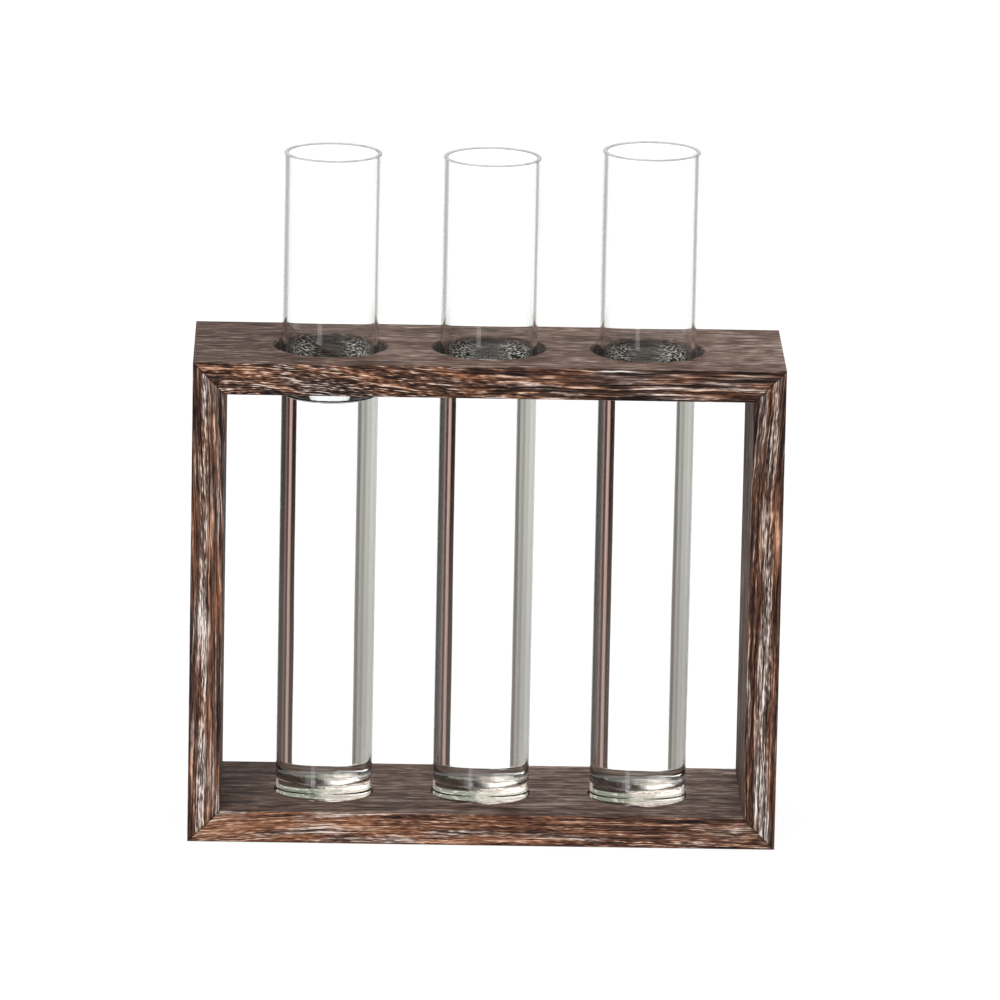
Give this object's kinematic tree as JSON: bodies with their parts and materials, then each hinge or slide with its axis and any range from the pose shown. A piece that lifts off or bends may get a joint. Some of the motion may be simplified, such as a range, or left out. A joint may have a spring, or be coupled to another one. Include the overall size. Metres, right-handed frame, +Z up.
{
  "type": "test tube vase",
  "caption": "Mitred wooden box frame holding a row of loose flat-bottomed glass tubes for stems, drilled through its top rail and recessed in its bottom rail.",
  "frame": {"origin": "middle of the frame's footprint, on the surface that it stands on", "axes": "+X to the right along the row of tubes, +Y from the front of the frame to its back, +Z up along the tubes"},
  "size_m": [0.182, 0.06, 0.2148],
  "materials": {
    "brushed_wood": "brushed open grain, dark stain with pale lime in the pores",
    "brad_steel": "bright drawn wire",
    "clear_glass": "clear, fire-polished lip"
  },
  "bodies": {
    "frame": {"top_rail": "brushed_wood", "bottom_rail": "brushed_wood", "left_stile": "brushed_wood", "right_stile": "brushed_wood", "brads_top_left": "brad_steel", "brads_top_right": "brad_steel", "brads_bottom_left": "brad_steel", "brads_bottom_right": "brad_steel"},
    "left_tube": {"tube_left": "clear_glass"},
    "middle_tube": {"tube_middle": "clear_glass"},
    "right_tube": {"tube_right": "clear_glass"}
  },
  "joints": [
    {"name": "left_tube_lift", "type": "slide", "parent": "frame", "child": "left_tube", "axis": [0, 0, 1], "range_m": [0, 0.15]},
    {"name": "middle_tube_lift", "type": "slide", "parent": "frame", "child": "middle_tube", "axis": [0, 0, 1], "range_m": [0, 0.15]},
    {"name": "right_tube_lift", "type": "slide", "parent": "frame", "child": "right_tube", "axis": [0, 0, 1], "range_m": [0, 0.15]}
  ]
}
